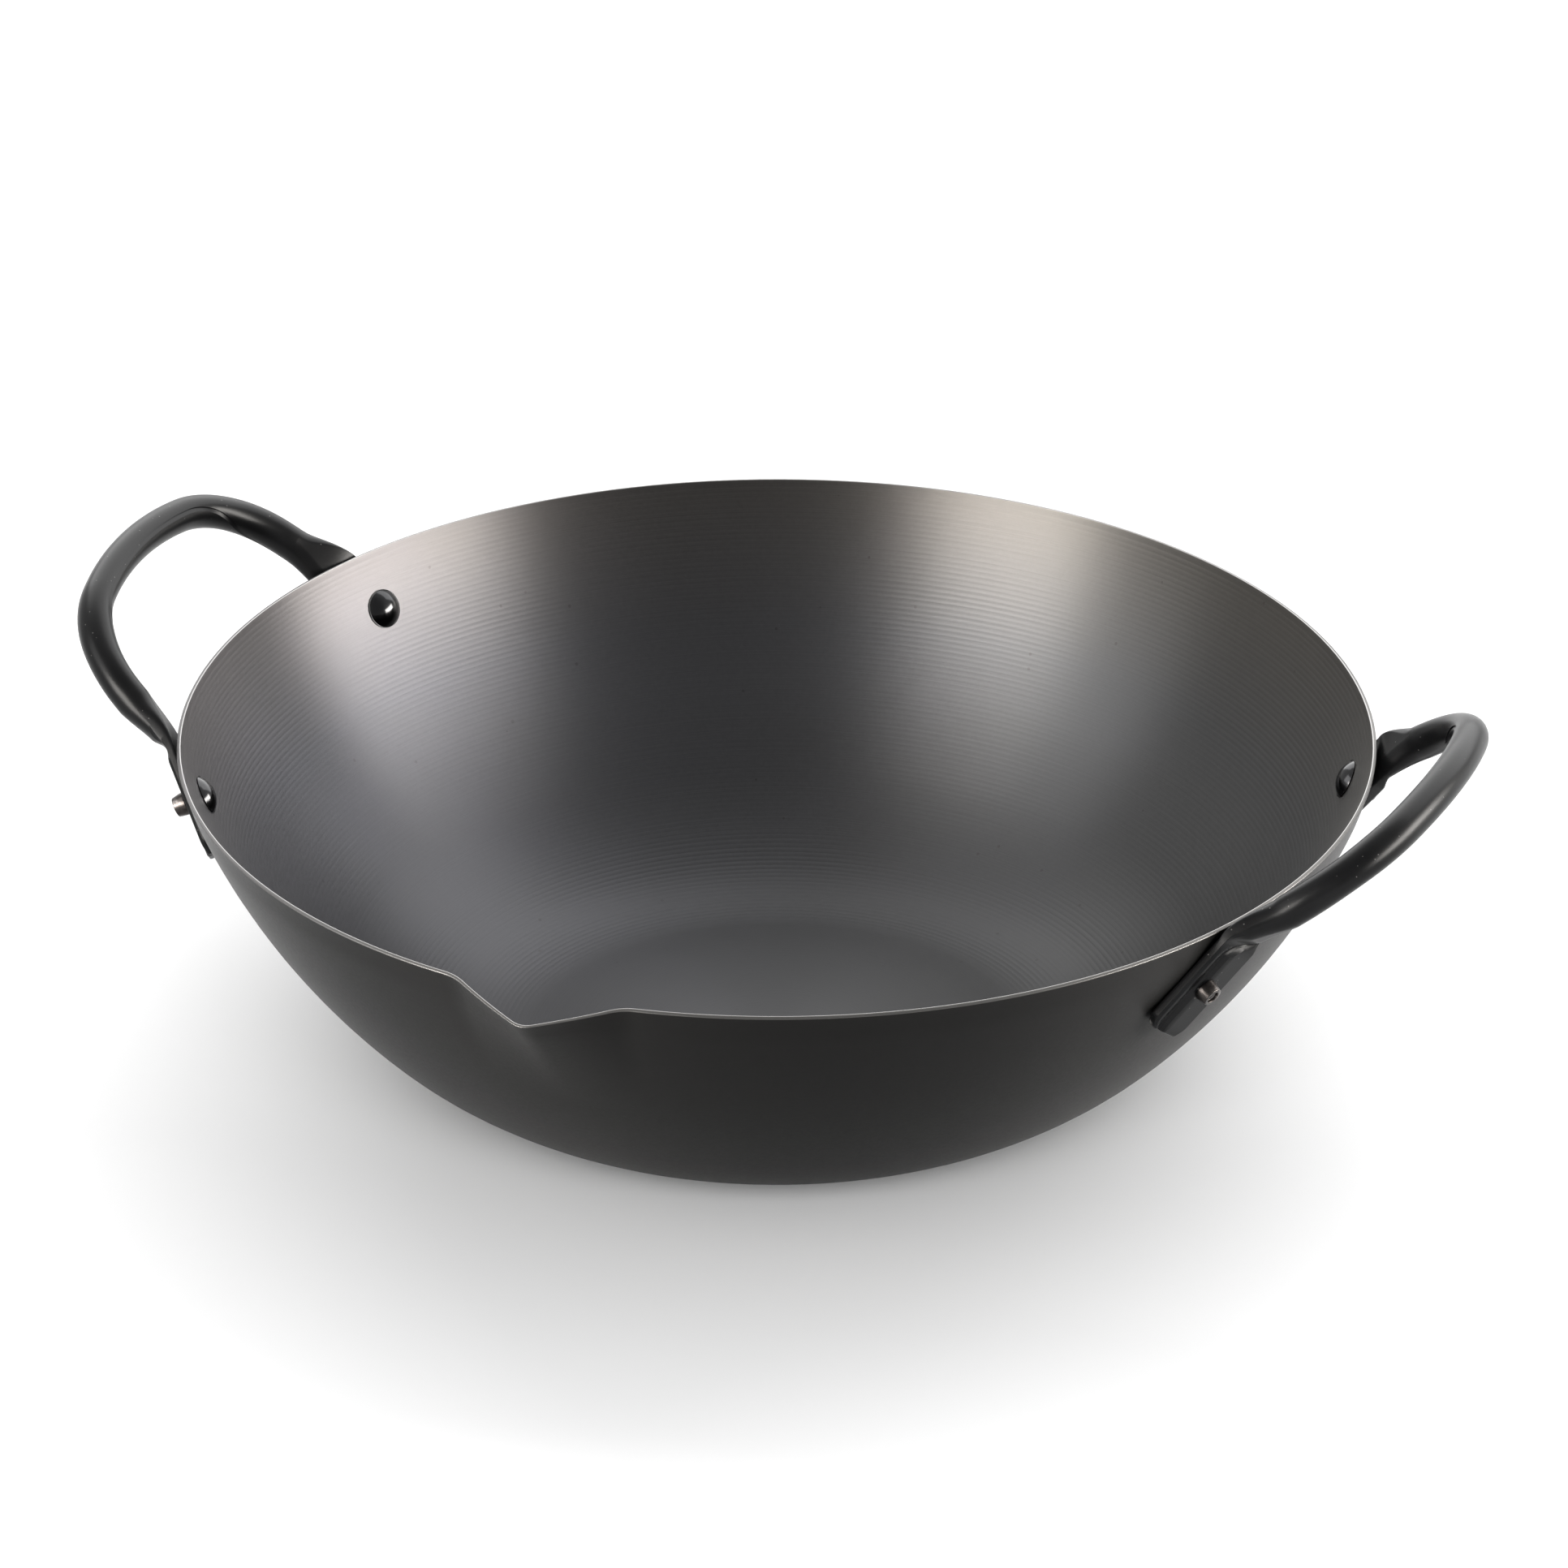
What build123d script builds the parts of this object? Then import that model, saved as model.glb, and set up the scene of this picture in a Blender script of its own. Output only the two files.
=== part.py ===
from build123d import *
import os
from math import acos, asin, atan2, cos, degrees, pi, radians, sin, tan

os.makedirs("parts", exist_ok=True)

# A flat-bottomed carbon steel wok with a pressed pouring lip and two loop handles.
# Each handle is one steel tube, pressed oval for the grip and flat at both ends,
# and each flat end is held to the wall by one rivet.
# Millimetres. The origin is at the middle of the base, on the surface that the wok stands on.
# The handles lie along X, and the pouring lip points along -Y.

# Bowl
rim_radius = 165.0
bowl_height = 95.0
wall = 1.6
wall_run = 99.0
heel_radius = 63.0
flank_radius = 104.0
heel_end_slope = radians(27.5)
flank_end_slope = radians(45.0)
rim_bevel = 0.4

# Pouring lip, pressed outward from the rim
lip_azimuth = radians(-91.2)
lip_depth = 11.0
lip_reach = 44.0
lip_tip_radius = 6.0
lip_root_radius = 15.0
lip_side_margin = 5.0
lip_flank_angle = radians(25.5)
lip_dip_angle = radians(24.0)
lip_sections = 32
lip_outline_points = 9

# Rivets
rivet_half_spacing = 62.8
rivet_drop = 17.4
shank_diameter = 4.4
shank_clearance = 0.05
head_diameter = 11.0
head_height = 2.6
head_clearance = 0.1
tail_root_diameter = 6.6
tail_tip_diameter = 5.5
tail_height = 3.2
tail_recess_diameter = 3.6
tail_recess_depth = 0.9
tail_bead_diameter = 2.0

# Handles
tube_diameter = 9.7
grip_width = 9.3
grip_height = 10.1
grip_root_inset = 10.0
grip_root_drop = 5.4
grip_depth = 47.6
grip_tilt = radians(36.5)
crown_radius = 118.0
crown_half_angle = radians(13.3)
shoulder_radius = 35.4
leg_angle = radians(75.0)
leg_length = 2.5
tab_width = 15.4
tab_thickness = 4.0
tab_clearance = 0.1
tab_lead = 14.0
tab_tail = 16.5
tab_corner_cut = 3.0
tab_fall_angle = radians(55.0)
bend_reach = 6.0
round_power = 2.0
tab_power = 4.5
section_points = 32
bend_steps = 7
shoulder_sections = 9
crown_sections = 6

# One overrun for every cut
overrun = 5.0


def arc_point(arc, slope, inset=0.0):
    """A point (radius, height) on a wall arc where the wall has this slope, inset from its outer side."""
    centre_r, centre_z, radius = arc
    return centre_r + (radius - inset) * sin(slope), centre_z - (radius - inset) * cos(slope)


# The outer wall is three tangent arcs from the edge of the base. The last one reaches the rim.
base_radius = rim_radius - wall_run
heel_arc = (base_radius, heel_radius, heel_radius)
heel_end = arc_point(heel_arc, heel_end_slope)
flank_arc = (
    heel_end[0] - flank_radius * sin(heel_end_slope),
    heel_end[1] + flank_radius * cos(heel_end_slope),
    flank_radius,
)
flank_end = arc_point(flank_arc, flank_end_slope)
chord_slope = atan2(bowl_height - flank_end[1], rim_radius - flank_end[0])
rim_slope = 2 * chord_slope - flank_end_slope
upper_radius = (rim_radius - flank_end[0]) / (sin(rim_slope) - sin(flank_end_slope))
upper_arc = (
    flank_end[0] - upper_radius * sin(flank_end_slope),
    flank_end[1] + upper_radius * cos(flank_end_slope),
    upper_radius,
)


def upper_slope(height, inset=0.0):
    """The slope of the upper wall at this height."""
    return acos((upper_arc[1] - height) / (upper_radius - inset))


def upper_side(low, high, inset, count):
    """Points (radius, height) up one side of the upper wall, evenly spaced in slope."""
    start = upper_slope(low, inset)
    step = (upper_slope(high, inset) - start) / (count - 1)
    return [arc_point(upper_arc, start + step * index, inset) for index in range(count)]


def on_section(points):
    """Points (radius, height) as points of the XZ plane."""
    return [(r, 0, z) for r, z in points]


def side_arc(arc, from_slope, to_slope, inset):
    """One wall arc of the turned profile."""
    slopes = (from_slope, (from_slope + to_slope) / 2, to_slope)
    return ThreePointArc(*on_section(arc_point(arc, slope, inset) for slope in slopes))


def turned_bowl():
    """The bowl before the lip is pressed: flat base, heel, flank and upper wall."""
    bevel_slope = upper_slope(bowl_height - rim_bevel, wall)
    bevel_foot = arc_point(upper_arc, bevel_slope, wall)
    bevel_top = (arc_point(upper_arc, upper_slope(bowl_height, wall), wall)[0] + rim_bevel, bowl_height)
    outline = [
        Line((0, 0, 0), (base_radius, 0, 0)),
        side_arc(heel_arc, 0, heel_end_slope, 0),
        side_arc(flank_arc, heel_end_slope, flank_end_slope, 0),
        side_arc(upper_arc, flank_end_slope, rim_slope, 0),
        Line(*on_section([(rim_radius, bowl_height), bevel_top])),
        Line(*on_section([bevel_top, bevel_foot])),
        side_arc(upper_arc, bevel_slope, flank_end_slope, wall),
        side_arc(flank_arc, flank_end_slope, heel_end_slope, wall),
        side_arc(heel_arc, heel_end_slope, 0, wall),
        Line((base_radius, 0, wall), (0, 0, wall)),
        Line((0, 0, wall), (0, 0, 0)),
    ]
    return revolve(make_face(outline), Axis.Z)


# The lip's outline seen from above: a rounded tip, straight flanks and rounded roots
tip_half_width = lip_tip_radius * sin(lip_flank_angle)
tip_fall = lip_tip_radius * (1 - cos(lip_flank_angle))
root_width = lip_root_radius * sin(lip_flank_angle)
root_rise = lip_root_radius * (1 - cos(lip_flank_angle))
flank_width = (lip_depth - tip_fall - root_rise) / tan(lip_flank_angle)
lip_half_width = tip_half_width + flank_width + root_width
lip_half_angle = (lip_half_width + lip_side_margin) / rim_radius


def lip_outline(across):
    """How far the rim is pressed outward, at this distance across the lip."""
    across = abs(across)
    if across <= tip_half_width:
        return lip_depth - lip_tip_radius + (lip_tip_radius**2 - across**2) ** 0.5
    if across <= tip_half_width + flank_width:
        return lip_depth - tip_fall - (across - tip_half_width) * tan(lip_flank_angle)
    if across < lip_half_width:
        return lip_root_radius - (lip_root_radius**2 - (lip_half_width - across) ** 2) ** 0.5
    return 0.0


def pressed(points, azimuth):
    """Wall points (radius, height) pressed outward by the lip and placed at this azimuth."""
    push = lip_outline((azimuth - lip_azimuth) * rim_radius)
    placed = []
    for r, z in points:
        share = 1 - (bowl_height - z) / lip_reach
        moved = r + push * share**2 * cos(lip_dip_angle)
        placed.append((moved * cos(azimuth), moved * sin(azimuth), z - push * share**2 * sin(lip_dip_angle)))
    return placed


def lip_section(azimuth):
    """The wall's outline at one azimuth, from the foot of the lip to the rim."""
    foot = bowl_height - lip_reach
    outer = upper_side(foot, bowl_height, 0, lip_outline_points)
    inner = upper_side(bowl_height - rim_bevel, foot, wall, lip_outline_points)
    rim_inner = arc_point(upper_arc, upper_slope(bowl_height, wall), wall)
    bevel_top = (rim_inner[0] + rim_bevel, bowl_height)
    outer_points = pressed(outer, azimuth)
    inner_points = pressed(inner, azimuth)
    top_point = pressed([bevel_top], azimuth)[0]
    return Wire(
        [
            Spline(*outer_points),
            Line(outer_points[-1], top_point),
            Line(top_point, inner_points[0]),
            Spline(*inner_points),
            Line(inner_points[-1], outer_points[0]),
        ]
    )


def lip_wedge():
    """The part of the turned bowl that the pressed lip takes the place of."""
    far = (rim_radius + overrun) / cos(lip_half_angle)
    corners = [
        (far * cos(lip_azimuth + turn), far * sin(lip_azimuth + turn))
        for turn in (-lip_half_angle, lip_half_angle)
    ]
    plan = make_face(Polyline((0, 0), *corners, close=True))
    return Pos(0, 0, bowl_height - lip_reach) * extrude(plan, lip_reach + overrun)


def pressed_lip():
    """The wall of the lip as one smooth skin through sections from side to side."""
    step = 2 * lip_half_angle / lip_sections
    start = lip_azimuth - lip_half_angle
    return Solid.make_loft([lip_section(start + step * index) for index in range(lip_sections + 1)])


# Where a rivet crosses the outer wall, in the upright plane through its axis
rivet_slope = rim_slope - rivet_drop / upper_radius
rivet_point = arc_point(upper_arc, rivet_slope)
rivet_half_angle = asin(rivet_half_spacing / rivet_point[0])


def rivet_plane(azimuth):
    """The plane that touches the outer wall at a rivet: X runs level round the wall, Z points outward."""
    r, z = rivet_point
    outward = (sin(rivet_slope) * cos(azimuth), sin(rivet_slope) * sin(azimuth), -cos(rivet_slope))
    level = (-sin(azimuth), cos(azimuth), 0)
    return Plane(origin=(r * cos(azimuth), r * sin(azimuth), z), x_dir=level, z_dir=outward)


def rivet(azimuth):
    """A round-headed rivet: domed head inside, shank, and a tapered tail with a dished end outside."""
    head_radius = head_diameter / 2
    shank_radius = shank_diameter / 2
    head_seat = -wall - head_clearance
    head_top = head_seat - head_height
    dome_radius = (head_radius**2 + head_height**2) / (2 * head_height)
    dome_half = head_radius / 2
    dome_mid = head_top + dome_radius - (dome_radius**2 - dome_half**2) ** 0.5
    tail_seat = tab_clearance + tab_thickness + head_clearance
    tail_end = tail_seat + tail_height
    dish_floor = tail_end - tail_recess_depth
    bead_radius = tail_bead_diameter / 2
    bead_top = dish_floor + bead_radius / 2
    bead_dome = (bead_radius**2 + (bead_radius / 2) ** 2) / bead_radius
    bead_mid = bead_top - bead_dome + (bead_dome**2 - (bead_radius / 2) ** 2) ** 0.5
    recess_radius = tail_recess_diameter / 2
    outline = [
        ThreePointArc((0, 0, head_top), (dome_half, 0, dome_mid), (head_radius, 0, head_seat)),
        Polyline(
            (head_radius, 0, head_seat),
            (shank_radius, 0, head_seat),
            (shank_radius, 0, tail_seat),
            (tail_root_diameter / 2, 0, tail_seat),
            (tail_tip_diameter / 2, 0, tail_end),
            (recess_radius, 0, tail_end),
            (recess_radius, 0, dish_floor),
            (bead_radius, 0, dish_floor),
        ),
        ThreePointArc((bead_radius, 0, dish_floor), (bead_radius / 2, 0, bead_mid), (0, 0, bead_top)),
        Line((0, 0, bead_top), (0, 0, head_top)),
    ]
    return rivet_plane(azimuth).location * revolve(make_face(outline), Axis.Z)


def rivet_hole(azimuth):
    """The cut that a rivet's shank passes through."""
    length = wall + tab_thickness + 2 * overrun
    hole = Cylinder(shank_diameter / 2 + shank_clearance, length)
    return rivet_plane(azimuth).location * hole


def tube_section(centre, along, wide_axis, width, thickness, power):
    """A closed tube outline: oval at a power of 2, flat-sided above it."""
    along = Vector(*along).normalized()
    wide_axis = Vector(*wide_axis)
    wide_axis = (wide_axis - along * wide_axis.dot(along)).normalized()
    thin_axis = along.cross(wide_axis)
    points = []
    for index in range(section_points):
        turn = 2 * pi * index / section_points
        across = width / 2 * abs(cos(turn)) ** (2 / power) * (1 if cos(turn) > 0 else -1)
        through = thickness / 2 * abs(sin(turn)) ** (2 / power) * (1 if sin(turn) > 0 else -1)
        points.append(Vector(*centre) + wide_axis * across + thin_axis * through)
    return Wire([Spline(*points, periodic=True)])


# The +Y tab lies on the wall and falls away from the middle of the handle
tab_seat = rivet_plane(rivet_half_angle)
tab_along = tab_seat.x_dir * cos(tab_fall_angle) - tab_seat.y_dir * sin(tab_fall_angle)
tab_middle = tab_seat.origin + tab_seat.z_dir * (tab_clearance + tab_thickness / 2)
tab_start = tab_middle - tab_along * tab_lead
tab_wide_axis = tab_along.cross(tab_seat.z_dir)

# The plane of the loop for the handle along +X: X runs level along Y, Y rises outward
grip_origin = (rim_radius - grip_root_inset, 0, bowl_height - grip_root_drop)
grip_normal = (sin(grip_tilt), 0, -cos(grip_tilt))
grip_plane = Plane(origin=grip_origin, x_dir=(0, 1, 0), z_dir=grip_normal)

# The loop's centre line in that plane, on the +Y side: crown arc, shoulder arc and straight leg
crown_drop = crown_radius * (1 - cos(crown_half_angle))
crown_end = (crown_radius * sin(crown_half_angle), grip_depth - crown_drop)
shoulder_centre = (
    crown_end[0] - shoulder_radius * sin(crown_half_angle),
    crown_end[1] - shoulder_radius * cos(crown_half_angle),
)


def shoulder_point(angle):
    """A point of the shoulder arc, in the plane of the loop."""
    x, y = shoulder_centre
    return x + shoulder_radius * sin(angle), y + shoulder_radius * cos(angle)


def leg_foot():
    """The point where the leg ends and the tube starts to go flat, in the plane of the loop."""
    x, y = shoulder_point(leg_angle)
    return x + leg_length * cos(leg_angle), y - leg_length * sin(leg_angle)


def grip_heading(angle):
    """The way along the loop, from its +Y side to its other side."""
    return grip_plane.y_dir * sin(angle) - grip_plane.x_dir * cos(angle)


def grip_section(x, y, angle, share):
    """An outline of the grip: round at the leg, where share is 0, and oval at the crown, where it is 1."""
    centre = grip_plane.from_local_coords(Vector(x, y))
    wide_axis = tab_wide_axis * (1 - share) + grip_plane.z_dir * share
    width = tube_diameter + (grip_height - tube_diameter) * share
    thickness = tube_diameter + (grip_width - tube_diameter) * share
    return tube_section(centre, grip_heading(angle), wide_axis, width, thickness, round_power)


def grip_sections():
    """The grip's outlines, from the foot of the +Y leg to the middle of the crown."""
    sections = [grip_section(*leg_foot(), leg_angle, 0)]
    for index in range(shoulder_sections):
        share = index / shoulder_sections
        angle = leg_angle + (crown_half_angle - leg_angle) * share
        sections.append(grip_section(*shoulder_point(angle), angle, share))
    for index in range(crown_sections + 1):
        angle = crown_half_angle * (1 - index / crown_sections)
        x, y = crown_radius * sin(angle), grip_depth - crown_radius * (1 - cos(angle))
        sections.append(grip_section(x, y, angle, 1))
    return sections


def bend_sections():
    """The outlines from the start of the +Y tab to the foot of its leg, as the flat tube opens out."""
    foot = grip_plane.from_local_coords(Vector(*leg_foot()))
    foot_heading = grip_heading(leg_angle)
    controls = [tab_start, tab_start - tab_along * bend_reach, foot - foot_heading * bend_reach, foot]
    sections = []
    for index in range(bend_steps):
        t = index / bend_steps
        share = t * t * (3 - 2 * t)
        weights = [(1 - t) ** 3, 3 * t * (1 - t) ** 2, 3 * t * t * (1 - t), t**3]
        slopes = [-((1 - t) ** 2), (1 - t) * (1 - 3 * t), t * (2 - 3 * t), t * t]
        centre = sum((point * weight for point, weight in zip(controls, weights)), Vector())
        heading = sum((point * slope for point, slope in zip(controls, slopes)), Vector())
        width = tab_width + (tube_diameter - tab_width) * share
        thickness = tab_thickness + (tube_diameter - tab_thickness) * share
        power = tab_power + (round_power - tab_power) * share
        sections.append(tube_section(centre, heading, tab_wide_axis, width, thickness, power))
    return sections


def tab(start):
    """The +Y flat tab, from its start outline to its end, which has both corners cut off."""
    flat = extrude(Face(start), tab_lead + tab_tail, dir=tab_along)
    half_width = tab_width / 2
    side = half_width + overrun
    reach = tab_lead + tab_tail + overrun
    half_plan = [(-reach, side), (-tab_corner_cut - overrun, side), (0, half_width - tab_corner_cut)]
    plan = make_face(Polyline(*half_plan, *[(x, -y) for x, y in reversed(half_plan)], close=True))
    keep = extrude(plan, tab_thickness + overrun, both=True)
    end_middle = tab_middle + tab_along * tab_tail
    return flat & (Plane(origin=end_middle, x_dir=tab_along, z_dir=tab_seat.z_dir).location * keep)


def handle(turn):
    """One handle, turned about Z to its side of the bowl."""
    half = bend_sections() + grip_sections()
    other_half = [section.mirror(Plane.XZ) for section in reversed(half[:-1])]
    end = tab(half[0])
    body = Solid.make_loft(half + other_half) + end + mirror(end, about=Plane.XZ)
    body -= rivet_hole(rivet_half_angle) + rivet_hole(-rivet_half_angle)
    return Rot(0, 0, degrees(turn)) * body


def write(name, shape):
    """Write one piece as parts/NAME.step."""
    solids = shape.solids()
    piece = solids[0] if len(solids) == 1 else shape
    piece.label = name
    export_step(piece, f"parts/{name}.step")
    print(name, len(solids), "solid,", round(piece.volume), "mm3, valid", piece.is_valid)


sides = {"right": 0.0, "left": pi}
rivet_turns = {"right_front": -rivet_half_angle, "right_rear": rivet_half_angle}
rivet_turns |= {"left_front": pi + rivet_half_angle, "left_rear": pi - rivet_half_angle}

bowl = turned_bowl() - lip_wedge() + pressed_lip()
for azimuth in rivet_turns.values():
    bowl -= rivet_hole(azimuth)
write("bowl", bowl)

for side, turn in sides.items():
    write(f"handle_{side}", handle(turn))

for place, azimuth in rivet_turns.items():
    write(f"rivet_{place}", rivet(azimuth))
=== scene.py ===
import random
from math import acos, asin, atan2, cos, pi, radians, sin, sqrt, tan

import bpy
from mathutils import Matrix, Vector

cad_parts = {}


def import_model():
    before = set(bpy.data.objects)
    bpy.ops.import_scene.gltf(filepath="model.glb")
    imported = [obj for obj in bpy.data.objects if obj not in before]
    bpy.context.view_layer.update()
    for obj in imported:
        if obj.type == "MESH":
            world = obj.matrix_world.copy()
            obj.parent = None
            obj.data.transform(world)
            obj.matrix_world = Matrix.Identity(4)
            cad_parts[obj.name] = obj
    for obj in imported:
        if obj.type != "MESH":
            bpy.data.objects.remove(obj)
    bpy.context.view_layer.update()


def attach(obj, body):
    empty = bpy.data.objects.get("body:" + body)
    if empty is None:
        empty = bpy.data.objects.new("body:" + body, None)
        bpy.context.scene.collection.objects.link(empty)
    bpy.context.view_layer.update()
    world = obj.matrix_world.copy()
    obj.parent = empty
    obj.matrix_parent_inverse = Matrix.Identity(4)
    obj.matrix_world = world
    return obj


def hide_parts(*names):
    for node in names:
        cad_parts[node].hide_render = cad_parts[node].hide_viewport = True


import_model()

# Lengths are in millimetres, as on the solids, and each mesh is scaled to metres when it is made.
MM = 0.001

# Bowl wall
RIM_RADIUS, BOWL_HEIGHT, WALL = 165.0, 95.0, 1.6
BASE_RADIUS, HEEL_RADIUS, FLANK_RADIUS = 66.0, 63.0, 104.0
HEEL_END, FLANK_END = radians(27.5), radians(45.0)
# The sheet's thickness at its square-cut rim, and the depths between which it thins to that
RIM_WALL, RIM_TAPER, RIM_TAPER_END = 1.15, 9.0, 0.5
# How far below the rim the wall's plain rings, the first ring inside and the grooves stop
RING_STOP, INSIDE_STOP, GROOVE_STOP = 0.6, 0.3, 0.2
BASE_RINGS = (3.0, 14.0, 28.0, 42.0, 54.0, 62.0, BASE_RADIUS)

# Pouring lip
LIP_AZIMUTH = radians(-91.2)
LIP_DEPTH, LIP_REACH, LIP_TIP_RADIUS, LIP_ROOT_RADIUS = 11.0, 44.0, 6.0, 15.0
LIP_FLANK, LIP_DIP = radians(25.5), radians(24.0)
# How far past the lip's sides the closer azimuths go on
LIP_MARGIN = 3.0

# Rivets
RIVET_HALF_SPACING, RIVET_DROP = 62.8, 17.4
HEAD_RADIUS, HEAD_HEIGHT, HEAD_GAP, HEAD_BAND, HEAD_CHAMFER = 5.5, 2.6, 0.1, 0.35, 0.12
SHANK_RADIUS, TAIL_HEIGHT, TAIL_GAP, TAIL_SUNK = 2.2, 3.2, 0.1, 0.3
TAIL_ROOT, TAIL_WAIST, TAIL_WAIST_HEIGHT, TAIL_TIP = 3.3, 3.2, 0.8, 2.75
# The dish in the tail's end and the bead left in it: radii, then depths from the tail's end
DISH_MOUTH, DISH_FLOOR, BEAD_FOOT, BEAD_SHOULDER, BEAD_TOP, POLE = 1.8, 1.7, 1.05, 0.98, 0.55, 0.05
DISH_DEPTH, BEAD_SHOULDER_DEPTH, BEAD_TOP_DEPTH, BEAD_MIDDLE_DEPTH = 0.9, 0.45, 0.28, 0.24
# How far under the tail's foot its bare steel begins
BARE_UNDER = 0.1
RIVET_TURNS, DOME_STEPS, RIVET_SHARP = 64, 18, radians(50)

# Handles
TUBE, GRIP_WIDE, GRIP_THIN = 4.85, 5.05, 4.65
TAB_WIDE, TAB_THIN, TAB_GAP, TAB_LEAD, TAB_TAIL, TAB_CORNER = 7.7, 2.0, 0.1, 14.0, 16.5, 3.0
TAB_FALL, TAB_END, BEND_REACH = radians(55.0), 5.5, 6.0
# Half thickness of the pressed tube's oval, and the room between an open tube and its flats
PRESSED_OVAL, TUBE_ROOM = 2.6, 0.5
# The fold's edge along the tab's upper side and at the bend, as shares of the tab's half width
FOLD_EDGE_SHARE, FOLD_SWUNG_SHARE = 0.36, -0.9
# How far up the tab from the rivet the fold starts and ends its swing across it
FOLD_TURN, FOLD_LAST = 10.5, 20.0
GRIP_DEPTH, GRIP_TILT = 47.6, radians(36.5)
GRIP_ROOT = Vector((155.0, 0.0, 89.6))
CROWN_RADIUS, CROWN_HALF = 118.0, radians(13.3)
SHOULDER_RADIUS, LEG_ANGLE, LEG_LENGTH = 35.4, radians(75.0), 2.5
TAB_RINGS, BEND_RINGS, SHOULDER_RINGS, CROWN_RINGS = 26, 40, 30, 24
UNDERSIDE_POINTS, HANDLE_SHARP = 48, radians(14)


def arc_point(arc, slope, inset=0.0):
    """Radius and height on a wall arc, where the wall has this slope."""
    centre_r, centre_z, radius = arc
    return centre_r + (radius - inset) * sin(slope), centre_z - (radius - inset) * cos(slope)


heel_arc = (BASE_RADIUS, HEEL_RADIUS, HEEL_RADIUS)
heel_r, heel_z = arc_point(heel_arc, HEEL_END)
flank_arc = (heel_r - FLANK_RADIUS * sin(HEEL_END), heel_z + FLANK_RADIUS * cos(HEEL_END), FLANK_RADIUS)
flank_r, flank_z = arc_point(flank_arc, FLANK_END)
rim_slope = 2 * atan2(BOWL_HEIGHT - flank_z, RIM_RADIUS - flank_r) - FLANK_END
upper_radius = (RIM_RADIUS - flank_r) / (sin(rim_slope) - sin(FLANK_END))
upper_arc = (flank_r - upper_radius * sin(FLANK_END), flank_z + upper_radius * cos(FLANK_END), upper_radius)


def upper_slope(height, inset=0.0):
    """The slope of the wall's upper arc at this height."""
    return acos((upper_arc[1] - height) / (upper_radius - inset))


def skin(name, rings, shares, sharp=None):
    """A closed mesh through rings of points, with each end drawn together, and named point attributes."""
    count = len(rings[0])
    points = [Vector(p) * MM for ring in rings for p in ring]
    faces = []
    for i in range(len(rings) - 1):
        for j in range(count):
            k = (j + 1) % count
            faces.append((i * count + j, i * count + k, (i + 1) * count + k, (i + 1) * count + j))
    last = (len(rings) - 1) * count
    for first, flip in ((0, True), (last, False)):
        middle = sum(points[first : first + count], Vector()) / count
        points.append(middle)
        pole = len(points) - 1
        for j in range(count):
            k = (j + 1) % count
            faces.append((first + k, first + j, pole) if flip else (first + j, first + k, pole))
    mesh = bpy.data.meshes.new(name)
    mesh.from_pydata(points, [], faces)
    for share_name, values in shares.items():
        values = list(values) + [values[0], values[-1]]
        mesh.attributes.new(share_name, "FLOAT", "POINT").data.foreach_set("value", values)
    mesh.polygons.foreach_set("use_smooth", [True] * len(mesh.polygons))
    if sharp:
        mesh.set_sharp_from_angle(angle=sharp)
    mesh.update()
    made = bpy.data.objects.new(name, mesh)
    bpy.context.scene.collection.objects.link(made)
    return made


# Bowl

tip_half = LIP_TIP_RADIUS * sin(LIP_FLANK)
tip_fall = LIP_TIP_RADIUS * (1 - cos(LIP_FLANK))
root_width = LIP_ROOT_RADIUS * sin(LIP_FLANK)
root_rise = LIP_ROOT_RADIUS * (1 - cos(LIP_FLANK))
flank_width = (LIP_DEPTH - tip_fall - root_rise) / tan(LIP_FLANK)
lip_half = tip_half + flank_width + root_width


def lip_outline(across):
    """How far the lip is pressed out at this distance from its middle."""
    across = abs(across)
    if across <= tip_half:
        return LIP_DEPTH - LIP_TIP_RADIUS + sqrt(LIP_TIP_RADIUS**2 - across**2)
    if across <= tip_half + flank_width:
        return LIP_DEPTH - tip_fall - (across - tip_half) * tan(LIP_FLANK)
    if across < lip_half:
        return LIP_ROOT_RADIUS - sqrt(LIP_ROOT_RADIUS**2 - (lip_half - across) ** 2)
    return 0.0


def pressed(r, z, azimuth):
    """A wall point at this azimuth, pressed out where the lip is."""
    share = max(0.0, 1 - (BOWL_HEIGHT - z) / LIP_REACH)
    push = lip_outline((azimuth - LIP_AZIMUTH) * RIM_RADIUS) * share**2
    r, z = r + push * cos(LIP_DIP), z - push * sin(LIP_DIP)
    return r * cos(azimuth), r * sin(azimuth), z


def inner_wall(distance):
    """Radius, height and slope of the inside, this far from its middle along the surface."""
    if distance <= BASE_RADIUS:
        return distance, WALL, 0.0
    distance -= BASE_RADIUS
    start = 0.0
    for arc, end in ((heel_arc, HEEL_END), (flank_arc, FLANK_END), (upper_arc, pi)):
        length = (arc[2] - WALL) * (end - start)
        if distance <= length:
            slope = start + distance / (arc[2] - WALL)
            return (*arc_point(arc, slope, WALL), slope)
        distance -= length
        start = end


inner_length = (
    BASE_RADIUS
    + (HEEL_RADIUS - WALL) * HEEL_END
    + (FLANK_RADIUS - WALL) * (FLANK_END - HEEL_END)
    + (upper_radius - WALL) * (upper_slope(BOWL_HEIGHT - GROOVE_STOP, WALL) - FLANK_END)
)

GROOVE_PITCH, GROOVE_STEPS = 1.5, 3
GROOVE_DEEP, GROOVE_FAINT = 0.045, 0.014
# Distance from the bowl's middle along its inside
GROOVE_START = 69.0
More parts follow.
